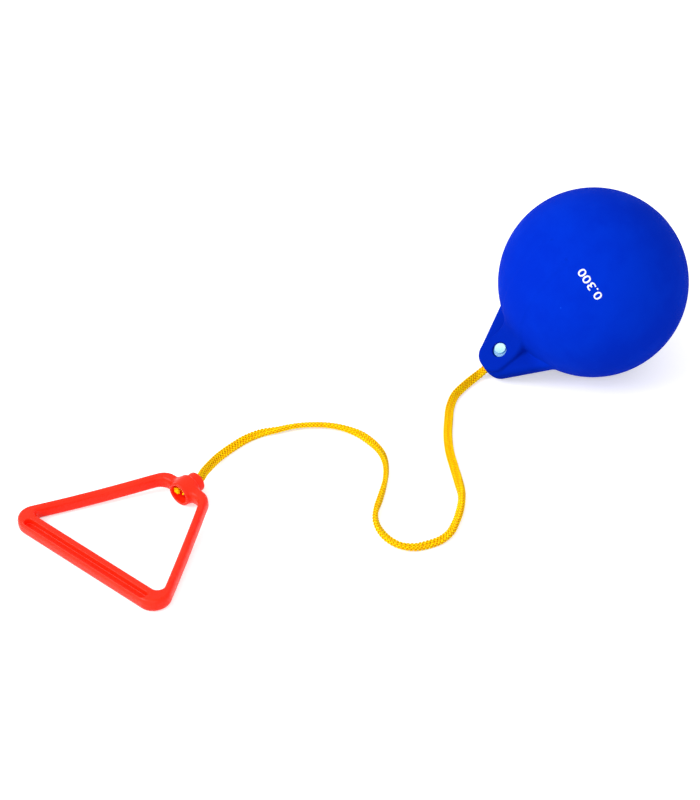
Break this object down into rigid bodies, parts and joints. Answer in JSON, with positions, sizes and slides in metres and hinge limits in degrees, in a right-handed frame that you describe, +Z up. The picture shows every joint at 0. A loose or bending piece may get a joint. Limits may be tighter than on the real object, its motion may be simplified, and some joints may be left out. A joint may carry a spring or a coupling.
{
  "type": "soft throwing hammer",
  "caption": "Soft plastic ball with a lug, on a doubled braided cord that runs to a triangular throwing handle with a grooved grip and a boss at its apex.",
  "frame": {"origin": "on the floor, under the middle of the box that the ball and the handle fill", "axes": "+X from the handle's grip towards its boss and the ball's side, +Y towards the handle's side of the floor, +Z up"},
  "size_m": [0.4193, 0.2142, 0.12],
  "materials": {
    "ball_pvc": "matt soft PVC",
    "pin_plastic": "pale translucent plastic",
    "cord_braid": "braided polyester cord",
    "handle_plastic": "satin moulded plastic"
  },
  "bodies": {
    "ball": {"ball_shell": "ball_pvc", "fill_plug": "ball_pvc", "cross_pin": "pin_plastic"},
    "cord_run": {"cord": "cord_braid", "stopper_knot": "cord_braid", "cord_end_a": "cord_braid", "cord_end_b": "cord_braid"},
    "grip": {"handle": "handle_plastic"}
  },
  "joints": [
    {"name": "lug_pivot", "type": "hinge", "parent": "ball", "child": "cord_run", "pos_m": [0.10166, -0.01614, 0.01587], "axis": [-0.6743, 0.0063, 0.7384], "range_deg": [-8, 8]},
    {"name": "handle_swivel", "type": "hinge", "parent": "cord_run", "child": "grip", "pos_m": [-0.11948, 0.04774, 0.0082], "axis": [0.9991, 0, 0.0436], "continuous": true}
  ]
}
